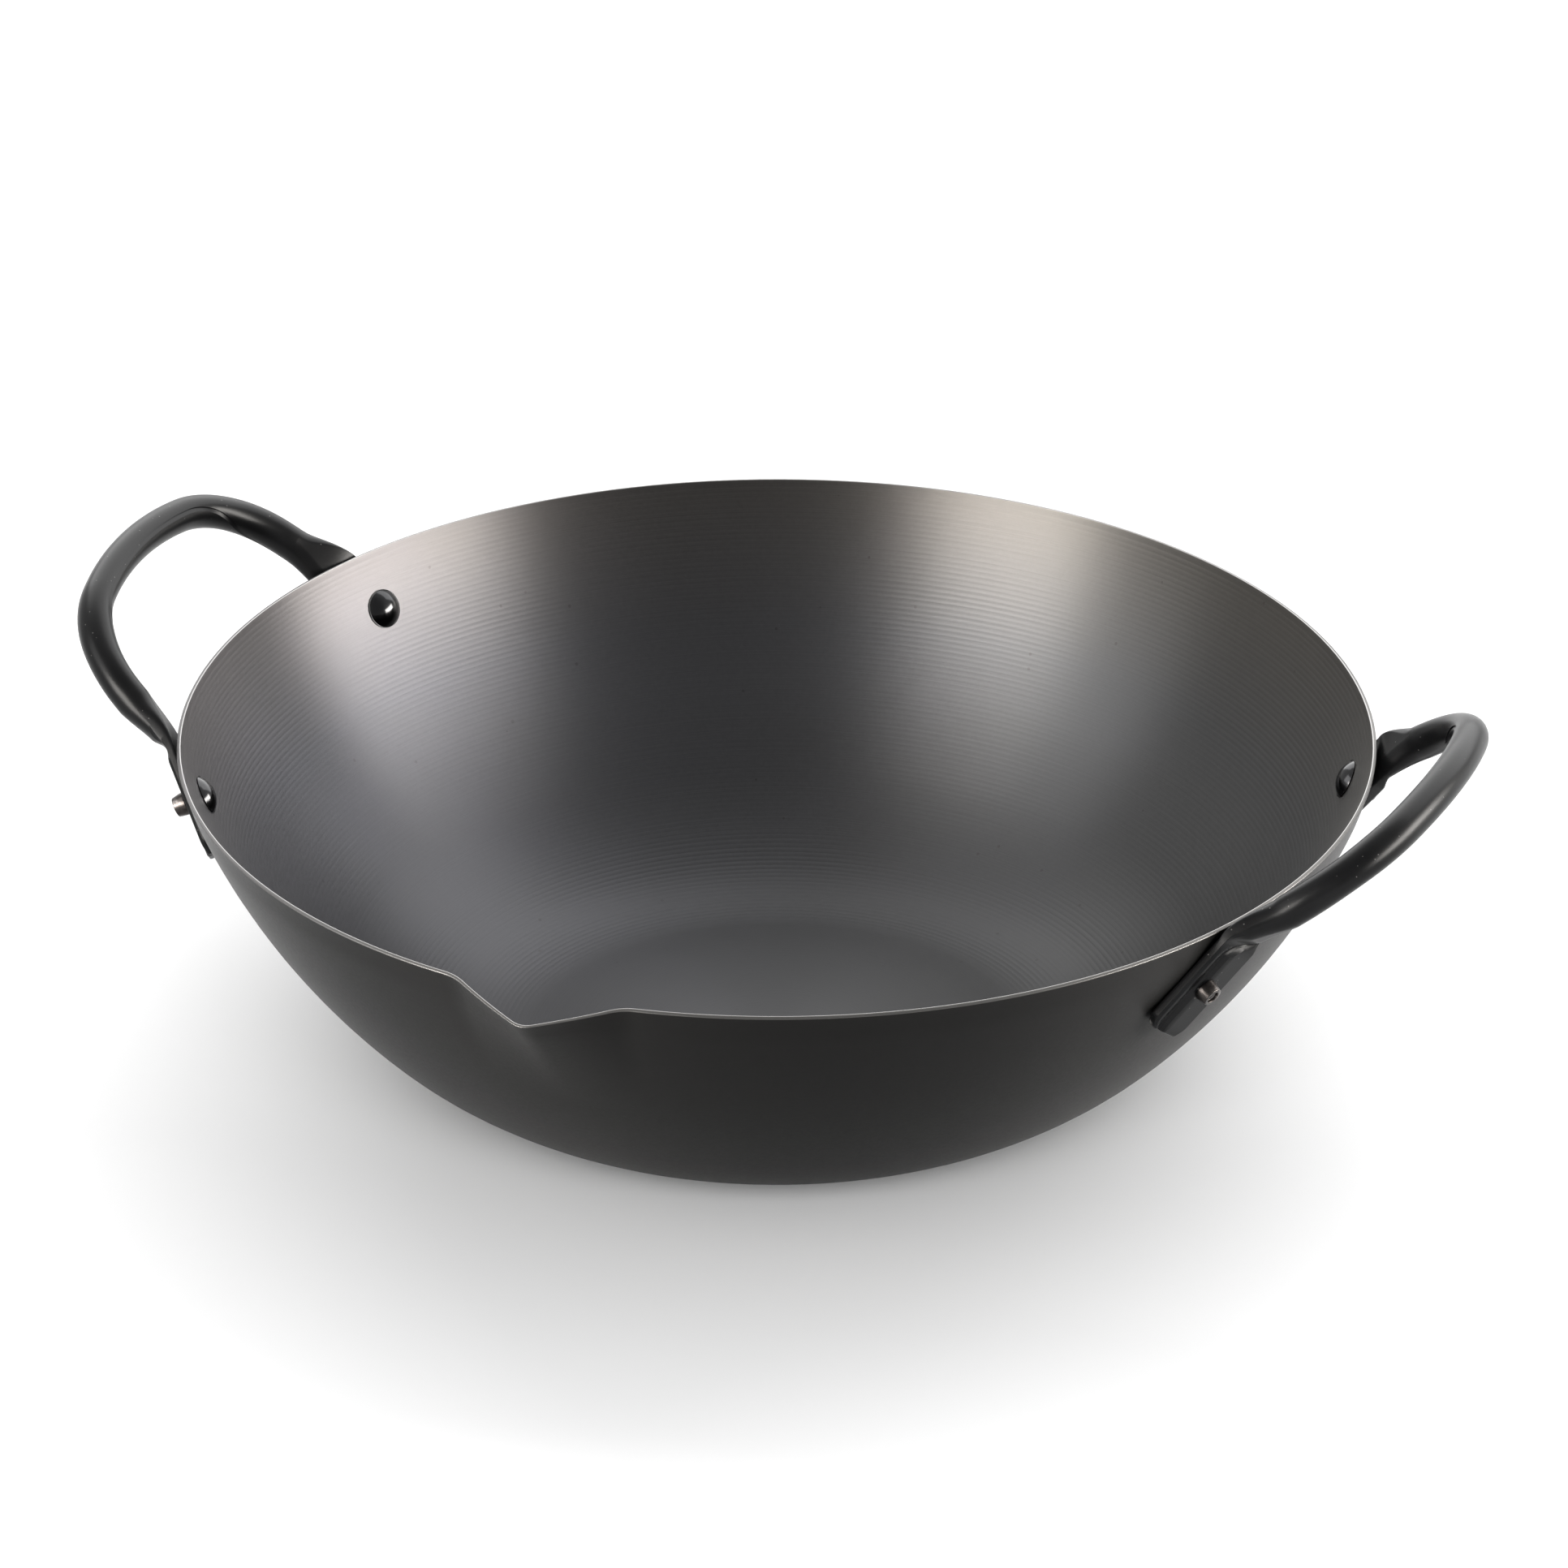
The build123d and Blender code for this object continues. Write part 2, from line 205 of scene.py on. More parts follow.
# Radii between which the grooves begin, the deep ones above the base fade out, and those at the rim begin
GROOVES_BEGIN, GROOVES_FADE, GROOVES_RETURN = (69.0, 76.0), (96.0, 108.0), (138.0, 150.0)
RIM_GROOVE_SHARE = 0.6
GROOVE_WEAKEST_SHARE, GROOVE_SPREAD_SHARE = 0.8, 0.4


def ease(low, high, value):
    """0 up to low, 1 from high on, and a smooth change between them."""
    share = min(1.0, max(0.0, (value - low) / (high - low)))
    return share * share * (3 - 2 * share)


def groove_depth(r):
    """Half the grooves' depth: deepest just above the base, faint in the middle, deeper again at the rim."""
    begun = ease(*GROOVES_BEGIN, r)
    low = begun * (1 - ease(*GROOVES_FADE, r))
    deep = max(low, RIM_GROOVE_SHARE * ease(*GROOVES_RETURN, r))
    return GROOVE_FAINT * begun + (GROOVE_DEEP - GROOVE_FAINT) * deep


def bowl_rows():
    """The wall's outline, from the middle of the underside to the middle of the inside.

    Each row is a radius, a height, the share of bare steel and the share of inside finish.
    """
    rows = [(r, 0.0, 0.0, 0.0) for r in BASE_RINGS]
    # The sheet gets thinner toward the rim, where it is cut square
    rim = upper_slope(BOWL_HEIGHT, WALL)
    rim_r, rim_z = arc_point(upper_arc, rim, WALL)
    outer_z = rim_z - RIM_WALL * cos(rim)
    for arc, start, end, steps in (
        (heel_arc, 0.0, HEEL_END, 9),
        (flank_arc, HEEL_END, FLANK_END, 7),
        (upper_arc, FLANK_END, upper_slope(outer_z - RING_STOP), 30),
    ):
        for i in range(steps):
            slope = start + (end - start) * (i + 1) / steps
            height = arc_point(arc, slope)[1]
            thinner = (WALL - RIM_WALL) * ease(outer_z - RIM_TAPER, outer_z - RIM_TAPER_END, height)
            rows.append((*arc_point(arc, slope, thinner), 0.0, 0.0))
    # The cut edge: distance from the inside across the sheet, distance up the sheet, share of bare steel
    for out, up, bare in (
        (RIM_WALL, -0.28, 0.0),
        (RIM_WALL - 0.03, -0.12, 0.35),
        (RIM_WALL - 0.12, -0.03, 0.45),
        (RIM_WALL - 0.28, 0.0, 0.16),
        (0.32, 0.0, 0.16),
        (0.20, -0.01, 0.8),
        (0.08, -0.06, 1.0),
        (0.0, -0.18, 0.5),
    ):
        r = rim_r + out * sin(rim) + up * cos(rim)
        z = rim_z - out * cos(rim) + up * sin(rim)
        rows.append((r, z, bare, 0.5))
    rand = random.Random(7)
    grooves = int((inner_length - GROOVE_START) / GROOVE_PITCH)
    step = GROOVE_PITCH / GROOVE_STEPS
    side = []
    for i in range(grooves * GROOVE_STEPS + 1):
        if i % GROOVE_STEPS == 0:
            strength = GROOVE_WEAKEST_SHARE + GROOVE_SPREAD_SHARE * rand.random()
        distance = GROOVE_START + i * step
        r, z, slope = inner_wall(distance)
        wave = groove_depth(r) * strength * cos(2 * pi * i / GROOVE_STEPS)
        side.append((r - wave * sin(slope), z + wave * cos(slope), 0.0, 1.0))
    rows.append((*arc_point(upper_arc, upper_slope(BOWL_HEIGHT - INSIDE_STOP, WALL), WALL), 0.0, 1.0))
    rows += [row for row in reversed(side) if row[1] < BOWL_HEIGHT - RING_STOP]
    rows += [(r, WALL, 0.0, 1.0) for r in reversed(BASE_RINGS)]
    return rows


def bowl_azimuths():
    """Azimuths round the bowl, closer together across the lip."""
    lip_side = (lip_half + LIP_MARGIN) / RIM_RADIUS
    fine, coarse = 60, 180
    near = [LIP_AZIMUTH - lip_side + 2 * lip_side * i / fine for i in range(fine)]
    rest = 2 * pi - 2 * lip_side
    return near + [LIP_AZIMUTH + lip_side + rest * i / coarse for i in range(coarse)]


def bowl():
    """The bowl's mesh, with the lip pressed out."""
    azimuths = bowl_azimuths()
    rows = bowl_rows()
    rings, bare, inside = [], [], []
    for r, z, b, side in rows:
        rings.append([pressed(r, z, a if a - LIP_AZIMUTH < pi else a - 2 * pi) for a in azimuths])
        bare += [b] * len(azimuths)
        inside += [side] * len(azimuths)
    return skin("wok_bowl", rings, {"bare": bare, "inside": inside})


# Rivets

rivet_slope = rim_slope - RIVET_DROP / upper_radius
rivet_r, rivet_z = arc_point(upper_arc, rivet_slope)
RIVET_AZIMUTH = asin(RIVET_HALF_SPACING / rivet_r)


def rivet_axes(azimuth):
    """Origin on the outer wall, the level direction, the direction up the wall and the outward one."""
    out = Vector((sin(rivet_slope) * cos(azimuth), sin(rivet_slope) * sin(azimuth), -cos(rivet_slope)))
    level = Vector((-sin(azimuth), cos(azimuth), 0.0))
    return Vector((rivet_r * cos(azimuth), rivet_r * sin(azimuth), rivet_z)), level, out.cross(level), out


def rounded(points, radius=0.22, steps=4):
    """An open outline with its inner corners rounded."""
    made = [points[0]]
    for before, corner, after in zip(points, points[1:], points[2:]):
        corner = Vector(corner)
        back, on = Vector(before) - corner, Vector(after) - corner
        cut = min(radius, back.length * 0.45, on.length * 0.45)
        start, end = corner + back.normalized() * cut, corner + on.normalized() * cut
        for i in range(steps + 1):
            t = i / steps
            made.append(tuple(start * (1 - t) ** 2 + corner * 2 * t * (1 - t) + end * t * t))
    return made + [points[-1]]


def rivet(name, azimuth):
    """A turned rivet: domed head inside the bowl, shank, tapered tail with a dished end outside."""
    seat = -WALL - HEAD_GAP
    top = seat - HEAD_HEIGHT
    dome = (HEAD_RADIUS**2 + HEAD_HEIGHT**2) / (2 * HEAD_HEIGHT)
    half = asin(HEAD_RADIUS / dome)
    head = []
    for i in range(1, DOME_STEPS):
        turn = half * i / DOME_STEPS
        head.append((dome * sin(turn), top + dome - dome * cos(turn)))
    tail_seat = TAB_GAP + 2 * TAB_THIN + TAIL_GAP
    tail_foot, tail_end = tail_seat - TAIL_SUNK, tail_seat + TAIL_HEIGHT
    corners = [
        head[-1],
        (HEAD_RADIUS, seat - HEAD_BAND),
        (HEAD_RADIUS - HEAD_CHAMFER, seat),
        (SHANK_RADIUS, seat),
        (SHANK_RADIUS, tail_foot),
        (TAIL_ROOT, tail_foot),
        (TAIL_WAIST, tail_seat + TAIL_WAIST_HEIGHT),
        (TAIL_TIP, tail_end),
        (DISH_MOUTH, tail_end),
        (DISH_FLOOR, tail_end - DISH_DEPTH),
        (BEAD_FOOT, tail_end - DISH_DEPTH),
        (BEAD_SHOULDER, tail_end - BEAD_SHOULDER_DEPTH),
        (BEAD_TOP, tail_end - BEAD_TOP_DEPTH),
        (POLE, tail_end - BEAD_MIDDLE_DEPTH),
    ]
    outline = [(POLE, top), *head, *rounded(corners)[1:]]
    origin, level, up, out = rivet_axes(azimuth)
    turns = [2 * pi * i / RIVET_TURNS for i in range(RIVET_TURNS)]
    rings, bare = [], []
    for r, h in outline:
        rings.append([origin + out * h + level * (r * cos(t)) - up * (r * sin(t)) for t in turns])
        bare += [1.0 if h > tail_foot - BARE_UNDER else 0.0] * RIVET_TURNS
    return skin(name, rings, {"bare": bare}, sharp=RIVET_SHARP)


# Handles


def fold_at(reach):
    """The fold's place across the tab this far up it from the rivet, as a share of the half width."""
    return FOLD_EDGE_SHARE - (FOLD_EDGE_SHARE - FOLD_SWUNG_SHARE) * ease(FOLD_TURN, FOLD_LAST, reach)


def handle_path():
    """The outlines of half the +X handle, from the end of its +Y tab to the crown.

    Each is a centre, a heading, a wide axis, a flatness, a half width, a share of the grip's oval,
    and on the tab and bend the fold's place and the share of the thickness.
    """
    origin, level, up, out = rivet_axes(RIVET_AZIMUTH)
    along = level * cos(TAB_FALL) - up * sin(TAB_FALL)
    middle = origin + out * (TAB_GAP + TAB_THIN)
    start = middle - along * TAB_LEAD
    wide = along.cross(out)
    across, rise = Vector((0, 1, 0)), Vector((cos(GRIP_TILT), 0, sin(GRIP_TILT)))
    normal = across.cross(rise) * -1
    crown_end = (CROWN_RADIUS * sin(CROWN_HALF), GRIP_DEPTH - CROWN_RADIUS * (1 - cos(CROWN_HALF)))
    centre = (
        crown_end[0] - SHOULDER_RADIUS * sin(CROWN_HALF),
        crown_end[1] - SHOULDER_RADIUS * cos(CROWN_HALF),
    )

    def place(x, y):
        return GRIP_ROOT + across * x + rise * y

    def shoulder(angle):
        return centre[0] + SHOULDER_RADIUS * sin(angle), centre[1] + SHOULDER_RADIUS * cos(angle)

    def heading(angle):
        return rise * sin(angle) - across * cos(angle)

    path = []
    # Tab, from its blunt end with both corners cut off: distance back, half width, share of the thickness
    blunt = TAB_WIDE - TAB_CORNER
    ends = [(0.0, blunt - 1.0, 0.55), (0.1, blunt - 0.5, 0.76), (0.35, blunt, 0.93), (0.75, blunt + 0.5, 1.0)]
    ends += [(back, blunt + back - 0.15, 1.0) for back in (1.2, 1.7, 2.2, 2.7)]
    ends += [(3.2, TAB_WIDE - 0.25, 1.0), (3.8, TAB_WIDE - 0.08, 1.0), (4.6, TAB_WIDE, 1.0)]
    for back, half, thick in ends:
        point = middle + along * (TAB_TAIL - back)
        path.append((point, -along, wide, 1.0, half, 0.0, FOLD_EDGE_SHARE, thick))
    tab_length = TAB_TAIL - TAB_END + TAB_LEAD
    for i in range(TAB_RINGS):
        down = TAB_TAIL - TAB_END - tab_length * i / TAB_RINGS
        path.append((middle + along * down, -along, wide, 1.0, TAB_WIDE, 0.0, fold_at(-down)))
    # Bend, where the flat tube opens out
    x, y = shoulder(LEG_ANGLE)
    foot = place(x + LEG_LENGTH * cos(LEG_ANGLE), y - LEG_LENGTH * sin(LEG_ANGLE))
    foot_heading = heading(LEG_ANGLE)
    controls = [start, start - along * BEND_REACH, foot - foot_heading * BEND_REACH, foot]
    chord = (foot - start).length
    for i in range(BEND_RINGS):
        t = i / BEND_RINGS
        weights = [(1 - t) ** 3, 3 * t * (1 - t) ** 2, 3 * t * t * (1 - t), t**3]
        slopes = [-((1 - t) ** 2), (1 - t) * (1 - 3 * t), t * (2 - 3 * t), t * t]
        point = sum((c * w for c, w in zip(controls, weights)), Vector())
        way = sum((c * w for c, w in zip(controls, slopes)), Vector())
        share = t * t * (3 - 2 * t)
        half = TAB_WIDE + (TUBE - TAB_WIDE) * share
        path.append((point, way, wide, 1 - t, half, 0.0, fold_at(TAB_LEAD + chord * t)))
    # Leg, shoulder and half the crown
    path.append((foot, foot_heading, wide, 0.0, TUBE, 0.0))
    for i in range(SHOULDER_RINGS):
        share = i / SHOULDER_RINGS
        angle = LEG_ANGLE + (CROWN_HALF - LEG_ANGLE) * share
        turned = wide * (1 - share) + normal * share
        path.append((place(*shoulder(angle)), heading(angle), turned, 0.0, TUBE, share))
    for i in range(CROWN_RINGS + 1):
        angle = CROWN_HALF * (1 - i / CROWN_RINGS)
        x, y = CROWN_RADIUS * sin(angle), GRIP_DEPTH - CROWN_RADIUS * (1 - cos(angle))
        path.append((place(x, y), heading(angle), normal, 0.0, TUBE, 1.0))
    return path


def along_points(points, value):
    """The height at this value on a line through points."""
    for (x0, y0), (x1, y1) in zip(points, points[1:]):
        if value <= x1:
            return y0 + (y1 - y0) * (value - x0) / (x1 - x0)
    return points[-1][1]


def outer_face(fold):
    """The pressed outer face's outline, and the places across it where the mesh has points.

    Places are shares of the half width, from -1 at the lower side to 1 at the upper one. Heights are in
    millimetres above the tab's middle: a raised panel, its step down at the fold, a groove and a low ridge.
    """
    panel = [(-1.0, 0.4), (-0.995, 1.7), (-0.98, 2.45), (-0.94, 2.8), (fold - 0.2, 1.95), (fold, 1.0)]
    ridge = [(fold + 0.08, 0.35), (fold + 0.26, 0.5), (fold + 0.48, 1.0), (fold + 0.58, 0.85), (1.0, 0.0)]
    corner = [-0.998, -0.992, -0.98, -0.96]
    places = corner + [-0.94 + (fold - 0.02 + 0.94) * i / 10 for i in range(10)]
    places += [fold - 0.02, fold, fold + 0.06, fold + 0.10]
    places += [fold + 0.14 + (0.985 - fold - 0.14) * i / 15 for i in range(16)]
    return panel + ridge, places


def handle_ring(centre, way, wide, flat, half_wide, oval, fold=FOLD_SWUNG_SHARE, thick=1.0):
    """One outline of the pressed tube: an oval cut by two flats, with a fold along its upper side."""
    way = way.normalized()
    wide = (wide - way * wide.dot(way)).normalized()
    thin = way.cross(wide)
    a = half_wide + (GRIP_WIDE - TUBE) * oval
    b = (TUBE + (GRIP_THIN - TUBE) * oval) * (1 - flat) + PRESSED_OVAL * flat
    h = TUBE * (1 - flat) + TAB_THIN * flat + (TUBE_ROOM if flat == 0 else 0.0)
    # The upper side has a sharp edge toward the wall where the tube is pressed
    sharpness = 2 / (2 + 5 * ease(0.1, 1.0, flat))
    # The pressed face opens to the oval first, and then the points across it spread evenly
    opened = ease(0.0, 0.35, 1 - flat)
    relaxed = ease(0.35, 0.6, 1 - flat)
    profile, places = outer_face(fold)
    made = []
    for i, place in enumerate(places):
        spread = -cos(pi * (i + 1) / (len(places) + 1))
        place = place + (spread - place) * relaxed
        body = min(h, b * sqrt(1 - place * place))
        if place < fold:
            body = min(body, along_points(profile, place))
        made.append((-a * place, body * opened + along_points(profile, place) * (1 - opened)))
    for i in range(UNDERSIDE_POINTS):
        turn = pi + pi * i / (UNDERSIDE_POINTS - 1)
        c, d = cos(turn), sin(turn)
        power = sharpness if c < 0 else 1.0
        made.append((a * abs(c) ** power * (1 if c > 0 else -1), max(-h, -b * abs(d) ** power)))
    return [centre + wide * x + thin * y * thick for x, y in made]


def handle(name, turn):
    """A handle's mesh, turned about the bowl's axis."""
    path = handle_path()
    rings = [handle_ring(*stop) for stop in path]
    flats = [stop[3] for stop in path]
    # The other half is the same half seen in a mirror, with each ring's points in the other order
    count = len(rings[0])
    other = [[Vector((p[0], -p[1], p[2])) for p in ring] for ring in rings[:-1]]
    crown = rings[-1]
    mirrored = [Vector((p[0], -p[1], p[2])) for p in crown]
    match = [min(range(count), key=lambda j: (mirrored[j] - p).length) for p in crown]
    other = [[ring[j] for j in match] for ring in reversed(other)]
    rings += other
    flats += list(reversed(flats[:-1]))
    spin = Matrix.Rotation(turn, 3, "Z")
    rings = [[spin @ p for p in ring] for ring in rings]
    pressed_share = [f for f in flats for _ in range(count)]
    return skin(name, rings, {"pressed": pressed_share}, sharp=HANDLE_SHARP)


# Materials


def shader_of(name, **constants):
    """A new material, its node tree and its main shader with these sockets set."""
    made = bpy.data.materials.new(name)
    made.use_nodes = True
    tree = made.node_tree
    shader = next(n for n in tree.nodes if n.type == "BSDF_PRINCIPLED")
    for socket, value in constants.items():
        shader.inputs[socket.replace("_", " ")].default_value = value
    return made, tree, shader


def node(tree, kind, links=(), values=(), **settings):
    """A node with its settings, its sockets' values and what is linked to it."""
    made = tree.nodes.new("ShaderNode" + kind)
    for key, value in settings.items():
        setattr(made, key, value)
    for socket, value in dict(values).items():
        made.inputs[socket].default_value = value
    for socket, source in dict(links).items():
        tree.links.new(source, made.inputs[socket])
    return made


def math_of(tree, operation, *terms, clamp=False):
    """A math node's result, from numbers and other nodes' results."""
    made = tree.nodes.new("ShaderNodeMath")
    made.operation, made.use_clamp = operation, clamp
    for index, term in enumerate(terms):
        if isinstance(term, (int, float)):
            made.inputs[index].default_value = term
        else:
            tree.links.new(term, made.inputs[index])
    return made.outputs[0]


def ramp(tree, source, *stops):
    """A colour ramp's colour. Stops are (position, colour)."""
    made = node(tree, "ValToRGB", {0: source})
    elements = made.color_ramp.elements
    while len(elements) < len(stops):
        elements.new(0.5)
    for element, (position, colour) in zip(elements, stops):
        element.position = position
        element.color = (*colour, 1.0)
    return made.outputs["Color"]


def mixed(tree, share, a, b, blend="MIX"):
    """Two colours mixed. Each is a socket or an (r, g, b) colour."""
    made = node(tree, "Mix", data_type="RGBA", blend_type=blend)
    for index, term in ((0, share), (6, a), (7, b)):
        if isinstance(term, (int, float)):
            made.inputs[index].default_value = term
        elif isinstance(term, tuple):
            made.inputs[index].default_value = (*term, 1.0)
        else:
            tree.links.new(term, made.inputs[index])
    return made.outputs[2]


def noise(tree, place, scale, detail, roughness=0.5):
    """A noise texture's value at these places."""
    values = {"Scale": scale, "Detail": detail, "Roughness": roughness}
    return node(tree, "TexNoise", {"Vector": place}, values).outputs["Fac"]


def sum_of(tree, first, first_share, second, second_share):
    """Two nodes' results, each times its share, added up."""
    terms = [math_of(tree, "MULTIPLY", first, first_share), math_of(tree, "MULTIPLY", second, second_share)]
    return math_of(tree, "ADD", *terms)


def place_of(tree):
    """The object's own coordinates, its x and z, and radius plus height, which grows all along the wall."""
    place = node(tree, "TexCoord").outputs["Object"]
    split = node(tree, "SeparateXYZ", {0: place})
    x, y, z = split.outputs
    square = math_of(tree, "ADD", math_of(tree, "MULTIPLY", x, x), math_of(tree, "MULTIPLY", y, y))
    radius = math_of(tree, "SQRT", square)
    return place, x, z, math_of(tree, "ADD", radius, z)


WORN_STEEL = (0.22, 0.21, 0.20)
BARE_EDGE = (0.25, 0.245, 0.24)
# Where the painted warm highlight colour begins toward the rim, and where the darker bottom ends, with the
# change per metre of height
PAINTED_WARMTH_HEIGHT, LOW_HEIGHT, CHANGE_RATE = 0.058, 0.045, 30.0


def carbon_steel():
    """The bowl: turned, oxidised steel inside, darker outside, with a bare edge at the rim."""
    made, tree, shader = shader_of("carbon_steel", Metallic=1.0, Anisotropic=0.7, Anisotropic_Rotation=0.25)
    place, x, z, along = place_of(tree)
    bare = node(tree, "Attribute", attribute_name="bare").outputs["Fac"]
    inside = node(tree, "Attribute", attribute_name="inside").outputs["Fac"]
    cloud = noise(tree, place, scale=14.0, detail=4.0, roughness=0.6)
    grain = noise(tree, place, scale=900.0, detail=3.0, roughness=0.7)
    rings = node(
        tree, "TexNoise", {"W": math_of(tree, "MULTIPLY", along, 2400.0)},
        {"Scale": 1.0, "Detail": 3.0, "Roughness": 0.75}, noise_dimensions="1D",
    ).outputs["Fac"]
    # Bluish and a little lighter toward the left (-X), neutral grey elsewhere
    side = sum_of(tree, x, -3.2, cloud, 0.5)
    tint = ramp(
        tree, side, (0.0, (0.064, 0.064, 0.064)), (0.3, (0.065, 0.065, 0.067)),
        (0.62, (0.073, 0.073, 0.078)), (1.0, (0.075, 0.075, 0.086)),
    )
    streaks = sum_of(tree, rings, 0.6, grain, 0.4)
    shade = ramp(tree, streaks, (0.3, (0.88, 0.88, 0.88)), (0.7, (1.08, 1.08, 1.08)))
    inner = mixed(tree, 1.0, tint, shade, "MULTIPLY")
    # Painted highlight: the colour turns warmer and a little lighter toward the rim, where the lamps' warm
    # highlights fall
    painted_warmth = math_of(tree, "MULTIPLY", math_of(tree, "SUBTRACT", z, PAINTED_WARMTH_HEIGHT), CHANGE_RATE, clamp=True)
    inner = mixed(tree, painted_warmth, inner, (1.12, 1.06, 0.97), "MULTIPLY")
    # It is a little darker low in the bowl
    low = math_of(tree, "MULTIPLY", math_of(tree, "SUBTRACT", LOW_HEIGHT, z), CHANGE_RATE, clamp=True)
    inner = mixed(tree, low, inner, (0.80, 0.80, 0.80), "MULTIPLY")
    outer = mixed(tree, cloud, (0.0175, 0.0172, 0.0170), (0.0205, 0.0200, 0.0195))
    colour = mixed(tree, inside, outer, inner)
    # Dark specks inside, in one cell of about five
    cells = node(tree, "TexVoronoi", {"Vector": place}, {"Scale": 190.0, "Randomness": 1.0})
    pick = node(tree, "SeparateColor", {0: cells.outputs["Color"]}).outputs[0]
    picked = math_of(tree, "GREATER_THAN", pick, 0.82)
    limit = math_of(tree, "MULTIPLY", picked, math_of(tree, "MULTIPLY", pick, 0.10))
    speck = math_of(tree, "LESS_THAN", cells.outputs["Distance"], limit)
    speck = math_of(tree, "MULTIPLY", math_of(tree, "MULTIPLY", speck, inside), 0.3)
    colour = mixed(tree, speck, colour, (0.022, 0.018, 0.016))
    colour = mixed(tree, bare, colour, BARE_EDGE)
    tree.links.new(colour, shader.inputs["Base Color"])
    rough = math_of(tree, "ADD", 0.36, math_of(tree, "MULTIPLY", grain, 0.10))
    outside = math_of(tree, "SUBTRACT", 1.0, inside)
    rough = math_of(tree, "ADD", rough, math_of(tree, "MULTIPLY", outside, 0.05))
    rough = math_of(tree, "SUBTRACT", rough, math_of(tree, "MULTIPLY", bare, 0.16))
    tree.links.new(rough, shader.inputs["Roughness"])
    height = sum_of(tree, rings, 0.75, grain, 0.25)
    bump = node(tree, "Bump", {"Height": height}, {"Strength": 0.2, "Distance": 0.00005})
    tree.links.new(bump.outputs["Normal"], shader.inputs["Normal"])
    tangent = node(tree, "Tangent", direction_type="RADIAL", axis="Z")
    tree.links.new(tangent.outputs["Tangent"], shader.inputs["Tangent"])
    return made


def handle_finish():
    """The handles: a black finish with dust-sized specks, worn along the folds of the pressed ends."""
    made, tree, shader = shader_of("handle_finish", Metallic=0.0, IOR=1.45, Specular_IOR_Level=0.15)
    place = node(tree, "TexCoord").outputs["Object"]
    cloud = noise(tree, place, scale=60.0, detail=5.0, roughness=0.6)
    grain = noise(tree, place, scale=1500.0, detail=2.0)
    pressed_share = node(tree, "Attribute", attribute_name="pressed").outputs["Fac"]
    colour = ramp(tree, cloud, (0.3, (0.003, 0.003, 0.0032)), (0.7, (0.006, 0.006, 0.0063)))
    cells = node(tree, "TexVoronoi", {"Vector": place}, {"Scale": 800.0, "Randomness": 1.0})
    pick = node(tree, "SeparateColor", {0: cells.outputs["Color"]}).outputs[1]
    limit = math_of(tree, "MULTIPLY", math_of(tree, "GREATER_THAN", pick, 0.90), 0.15)
    speck = math_of(tree, "LESS_THAN", cells.outputs["Distance"], limit)
    colour = mixed(tree, math_of(tree, "MULTIPLY", speck, 0.4), colour, WORN_STEEL)
    # Worn steel along the folds of the pressed ends
    edge = node(tree, "NewGeometry").outputs["Pointiness"]
    ragged = math_of(tree, "MULTIPLY", math_of(tree, "SUBTRACT", grain, 0.5), 0.12)
    worn = ramp(tree, math_of(tree, "ADD", edge, ragged), (0.56, (0, 0, 0)), (0.62, (1, 1, 1)))
    worn = math_of(tree, "MULTIPLY", math_of(tree, "MULTIPLY", worn, pressed_share), 0.5)
    colour = mixed(tree, worn, colour, WORN_STEEL)
    tree.links.new(colour, shader.inputs["Base Color"])
    rough = math_of(tree, "ADD", 0.24, math_of(tree, "MULTIPLY", cloud, 0.14))
    tree.links.new(rough, shader.inputs["Roughness"])
    height = sum_of(tree, grain, 0.4, cloud, 0.6)
    bump = node(tree, "Bump", {"Height": height}, {"Strength": 0.25, "Distance": 0.00008})
    tree.links.new(bump.outputs["Normal"], shader.inputs["Normal"])
    return made


def rivet_steel():
    """The rivets: dark, smooth heads, and rougher tails whose steel shows bare in patches."""
    made, tree, shader = shader_of("rivet_steel", Metallic=1.0)
    place = node(tree, "TexCoord").outputs["Object"]
    bare = node(tree, "Attribute", attribute_name="bare").outputs["Fac"]
    cloud = noise(tree, place, scale=220.0, detail=5.0, roughness=0.65)
    head = ramp(tree, cloud, (0.3, (0.030, 0.030, 0.031)), (0.7, (0.042, 0.042, 0.043)))
    tail = ramp(
        tree, cloud, (0.36, (0.025, 0.022, 0.021)), (0.54, (0.06, 0.054, 0.051)), (0.70, (0.26, 0.24, 0.23)),
    )
    tree.links.new(mixed(tree, bare, head, tail), shader.inputs["Base Color"])
    uneven = math_of(tree, "ADD", 0.10, math_of(tree, "MULTIPLY", cloud, 0.10))
    rough = math_of(tree, "ADD", math_of(tree, "MULTIPLY", bare, 0.16), uneven)
    tree.links.new(rough, shader.inputs["Roughness"])
    bump = node(tree, "Bump", {"Height": cloud}, {"Strength": 0.2, "Distance": 0.0001})
    tree.links.new(bump.outputs["Normal"], shader.inputs["Normal"])
    return made


# The object

finishes = {"carbon_steel": carbon_steel(), "handle_finish": handle_finish(), "rivet_steel": rivet_steel()}


def dress(piece, solid, slot):
    """Give a piece its material and put it in the place of its solid."""
    piece.data.materials.append(finishes[slot])
    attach(piece, "root")
    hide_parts(solid)


dress(bowl(), "bowl", "carbon_steel")
dress(handle("wok_handle_right", 0.0), "handle_right", "handle_finish")
dress(handle("wok_handle_left", pi), "handle_left", "handle_finish")
for place, azimuth in (
    ("right_front", -RIVET_AZIMUTH),
    ("right_rear", RIVET_AZIMUTH),
    ("left_front", pi + RIVET_AZIMUTH),
    ("left_rear", pi - RIVET_AZIMUTH),
):
    dress(rivet(f"wok_rivet_{place}", azimuth), f"rivet_{place}", "rivet_steel")

# Floor

FLOOR_HALF = 12.0
FLOOR_COLOUR = (0.85, 0.85, 0.85, 1.0)


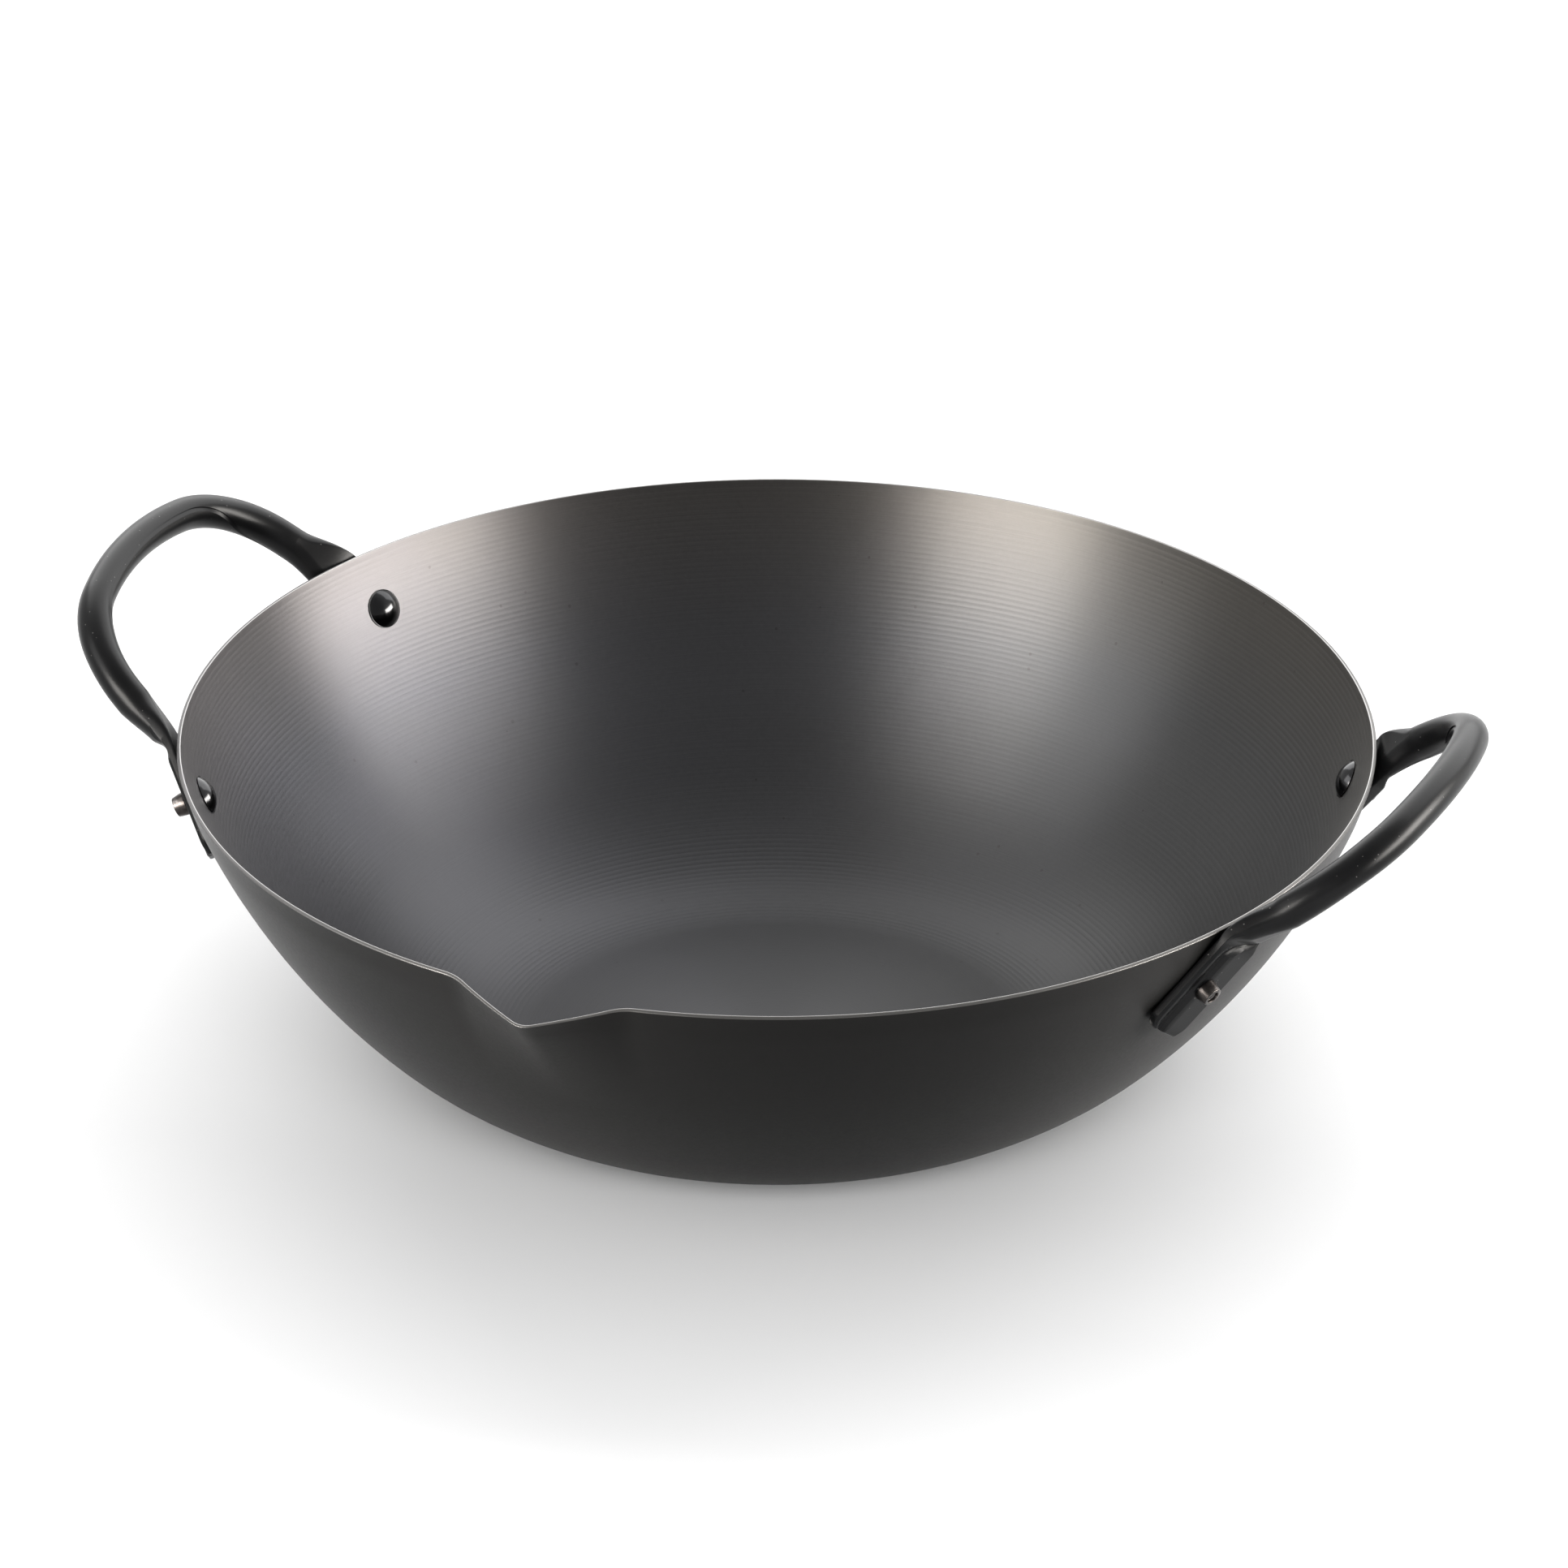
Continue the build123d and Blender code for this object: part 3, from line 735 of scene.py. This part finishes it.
def floor():
    """A plain pale floor, in metres."""
    mesh = bpy.data.meshes.new("floor")
    corners = [(x * FLOOR_HALF, y * FLOOR_HALF, 0) for x, y in ((-1, -1), (1, -1), (1, 1), (-1, 1))]
    mesh.from_pydata(corners, [], [(0, 1, 2, 3)])
    made = bpy.data.objects.new("floor", mesh)
    bpy.context.scene.collection.objects.link(made)
    paint, tree, shader = shader_of("floor", Roughness=1.0, Specular_IOR_Level=0.0)
    shader.inputs["Base Color"].default_value = FLOOR_COLOUR
    mesh.materials.append(paint)


floor()

# Light

WHITE = (1, 1, 1, 1)
# Where the studio is darkest: azimuth and elevation
DIM_AZIMUTH, DIM_ELEVATION = radians(-62), radians(42)


def direction(azimuth, elevation):
    """The way to a place at this azimuth and elevation."""
    return Vector((cos(azimuth) * cos(elevation), sin(azimuth) * cos(elevation), sin(elevation)))


def world():
    """A plain studio that lights the floor evenly, and is white to the camera and in gloss."""
    made = bpy.data.worlds.new("studio")
    bpy.context.scene.world = made
    made.use_nodes = True
    tree = made.node_tree
    tree.nodes.clear()
    path = node(tree, "LightPath")
    in_gloss = math_of(tree, "MAXIMUM", path.outputs["Is Glossy Ray"], path.outputs["Is Transmission Ray"])
    seen = math_of(tree, "MAXIMUM", path.outputs["Is Camera Ray"], in_gloss)
    plain = node(tree, "Background", values={"Color": WHITE, "Strength": 0.7})
    # In reflections the studio is darker on one side, about where the photographer stood
    way = node(tree, "TexCoord").outputs["Generated"]
    dim = direction(DIM_AZIMUTH, DIM_ELEVATION)
    facing = node(tree, "VectorMath", {0: way}, {1: dim}, operation="DOT_PRODUCT").outputs["Value"]
    level = node(
        tree, "MapRange", {0: facing}, {1: 0.3, 2: 0.95, 3: 1.0, 4: 0.45}, interpolation_type="SMOOTHSTEP",
    ).outputs[0]
    level = math_of(tree, "MAXIMUM", level, path.outputs["Is Camera Ray"])
    white = node(tree, "Background", {"Strength": level}, {"Color": WHITE})
    both = node(tree, "MixShader", {0: seen, 1: plain.outputs[0], 2: white.outputs[0]})
    node(tree, "OutputWorld", {0: both.outputs[0]})


LAMPS_FACE = Vector((0, 0, 0.07))


def lamp(name, towards, distance, size, watts, colour=(1, 1, 1), on_floor=False, on_metal=True):
    """A soft rectangular lamp that faces the bowl, in this direction from it and this far away.

    It shows in diffuse surfaces such as the floor, in gloss such as the metal's, or in both.
    """
    data = bpy.data.lights.new(name, "AREA")
    data.shape, data.size, data.size_y = "RECTANGLE", *size
    data.energy, data.color = watts, colour
    made = bpy.data.objects.new(name, data)
    bpy.context.scene.collection.objects.link(made)
    way = direction(*map(radians, towards))
    made.location = LAMPS_FACE + way * distance
    made.rotation_mode = "QUATERNION"
    made.rotation_quaternion = way.to_track_quat("Z", "Y")
    made.visible_camera = False
    made.visible_diffuse, made.visible_glossy = on_floor, on_metal


world()
lamp("right_box", (14, 12), 1.3, (1.15, 0.38), 42.0, (1.0, 0.965, 0.92))
lamp("left_box", (-117, 18), 1.3, (0.75, 0.5), 34.0, (1.0, 0.965, 0.92))
lamp("left_fill", (-148, 30), 1.4, (0.8, 0.7), 6.0)
lamp("back_box", (100, 36), 1.6, (3.0, 1.6), 46.0, on_floor=True)
lamp("floor_fill", (-68, 24), 2.0, (1.6, 1.0), 36.0, on_floor=True, on_metal=False)

# Camera

LENS, SENSOR_WIDTH = 308.6, 36.0
CAMERA_AZIMUTH, CAMERA_ELEVATION, CAMERA_DISTANCE = radians(21.68), radians(26.72), 3.683
# Where the camera aims, from the middle of the rim
AIM_RIGHT, AIM_DOWN = 0.0020, 0.0129


def camera():
    """The photograph's view. Distances are in metres."""
    data = bpy.data.cameras.new("camera")
    data.lens, data.sensor_width = LENS, SENSOR_WIDTH
    data.clip_start, data.clip_end = 0.1, 60.0
    made = bpy.data.objects.new("camera", data)
    bpy.context.scene.collection.objects.link(made)
    bpy.context.scene.camera = made
    a, e = CAMERA_AZIMUTH, CAMERA_ELEVATION
    back = Vector((sin(a) * cos(e), -cos(a) * cos(e), sin(e)))
    right = Vector((cos(a), sin(a), 0.0))
    rim_middle = Vector((0, 0, BOWL_HEIGHT * MM))
    made.location = rim_middle + back * CAMERA_DISTANCE
    aim = rim_middle + right * AIM_RIGHT - back.cross(right) * AIM_DOWN
    made.rotation_mode = "QUATERNION"
    made.rotation_quaternion = (aim - made.location).to_track_quat("-Z", "Y")


camera()
bpy.context.scene.view_settings.view_transform = "Standard"
